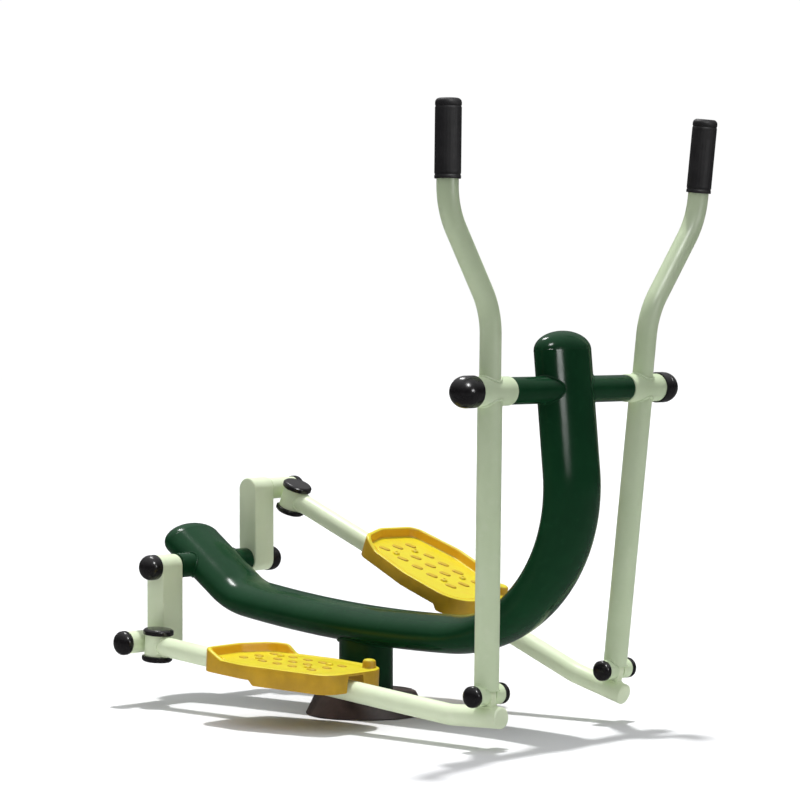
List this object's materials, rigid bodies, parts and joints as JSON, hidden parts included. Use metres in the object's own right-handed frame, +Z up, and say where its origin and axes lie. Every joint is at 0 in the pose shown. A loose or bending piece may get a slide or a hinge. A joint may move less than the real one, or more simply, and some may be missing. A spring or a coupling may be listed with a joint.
{
  "type": "outdoor cross trainer",
  "caption": "Outdoor cross trainer for a park: green bent oval frame on a ground post, swinging cream handle arms, rear cranks and yellow foot pedals on bars.",
  "frame": {"origin": "on the ground, under the centre of the ground post and its flange", "axes": "Z up; X forward, from the cranks to the handles; Y to the user's left"},
  "size_m": [1.2019, 0.793, 1.2482],
  "materials": {
    "green_paint": "gloss",
    "cream_paint": "satin",
    "black_plastic": "gloss",
    "black_rubber": "matte",
    "brown_plastic": "matte",
    "yellow_plastic": "satin",
    "steel": "brushed",
    "bronze": "satin"
  },
  "bodies": {
    "frame": {"main_frame": "green_paint", "column_cap": "green_paint", "rear_cap": "green_paint", "ground_post": "green_paint", "base_flange": "green_paint", "base_cover_right": "brown_plastic", "base_cover_left": "brown_plastic", "front_axle_tube": "green_paint", "front_axle_shaft": "steel", "front_axle_nuts": "steel", "rear_axle_tube": "green_paint", "crank_bearings": "steel"},
    "crankset": {"crank_axle": "steel", "crank_axle_nuts": "steel", "right_crank": "cream_paint", "right_crank_cap": "black_plastic", "right_crank_pin": "steel", "right_crank_pin_nut": "steel", "left_crank": "cream_paint", "left_crank_cap": "black_plastic", "left_crank_pin": "steel", "left_crank_pin_nut": "steel"},
    "right_joint": {"right_ujoint": "cream_paint", "right_ujoint_bush": "bronze", "right_ujoint_cap": "black_plastic"},
    "right_bar_body": {"right_bar": "cream_paint", "right_bar_plug": "cream_paint", "right_swivel_caps": "black_plastic", "right_pedal_bracket": "cream_paint", "right_pedal": "yellow_plastic", "right_pedal_bolts": "steel"},
    "right_arm_body": {"right_arm": "cream_paint", "right_handle": "cream_paint", "right_grip": "black_rubber", "right_arm_bearings": "steel", "right_arm_cap": "black_plastic", "right_lower_pin": "steel", "right_lower_nuts": "steel", "right_lower_caps": "black_plastic"},
    "left_joint": {"left_ujoint": "cream_paint", "left_ujoint_bush": "bronze", "left_ujoint_cap": "black_plastic"},
    "left_bar_body": {"left_bar": "cream_paint", "left_bar_plug": "cream_paint", "left_swivel_caps": "black_plastic", "left_pedal_bracket": "cream_paint", "left_pedal": "yellow_plastic", "left_pedal_bolts": "steel"},
    "left_arm_body": {"left_arm": "cream_paint", "left_handle": "cream_paint", "left_grip": "black_rubber", "left_arm_bearings": "steel", "left_arm_cap": "black_plastic", "left_lower_pin": "steel", "left_lower_nuts": "steel", "left_lower_caps": "black_plastic"}
  },
  "joints": [
    {"name": "crank_turn", "type": "hinge", "parent": "frame", "child": "crankset", "pos_m": [-0.467, 0, 0.293], "axis": [0, 1, 0], "range_deg": [-20, 20]},
    {"name": "right_ujoint_turn", "type": "hinge", "parent": "crankset", "child": "right_joint", "pos_m": [-0.467, 0, 0.135], "axis": [0, 1, 0], "range_deg": [-20.25, 20.25]},
    {"name": "left_ujoint_turn", "type": "hinge", "parent": "crankset", "child": "left_joint", "pos_m": [-0.467, 0, 0.451], "axis": [0, 1, 0], "range_deg": [-19.83, 19.83]},
    {"name": "right_arm_swing", "type": "hinge", "parent": "frame", "child": "right_arm_body", "pos_m": [0.546, 0, 0.692], "axis": [0, 1, 0], "range_deg": [-5.53, 5.53]},
    {"name": "left_arm_swing", "type": "hinge", "parent": "frame", "child": "left_arm_body", "pos_m": [0.546, 0, 0.692], "axis": [0, 1, 0], "range_deg": [-5.31, 5.31]},
    {"name": "right_bar_hinge", "type": "hinge", "parent": "right_arm_body", "child": "right_bar_body", "pos_m": [0.5376, 0, 0.10506], "axis": [0, 1, 0], "range_deg": [-5.58, 5.58]},
    {"name": "left_bar_hinge", "type": "hinge", "parent": "left_arm_body", "child": "left_bar_body", "pos_m": [0.47805, 0, 0.10895], "axis": [0, 1, 0], "range_deg": [-5.68, 5.68]}
  ],
  "couplings": [
    {"joint": "right_ujoint_turn", "follows": "crank_turn", "ratio": -1.0023},
    {"joint": "left_ujoint_turn", "follows": "crank_turn", "ratio": -0.98141},
    {"joint": "right_arm_swing", "follows": "crank_turn", "ratio": 0.26662},
    {"joint": "left_arm_swing", "follows": "crank_turn", "ratio": -0.25558},
    {"joint": "right_bar_hinge", "follows": "crank_turn", "ratio": -0.26887},
    {"joint": "left_bar_hinge", "follows": "crank_turn", "ratio": 0.27417}
  ]
}
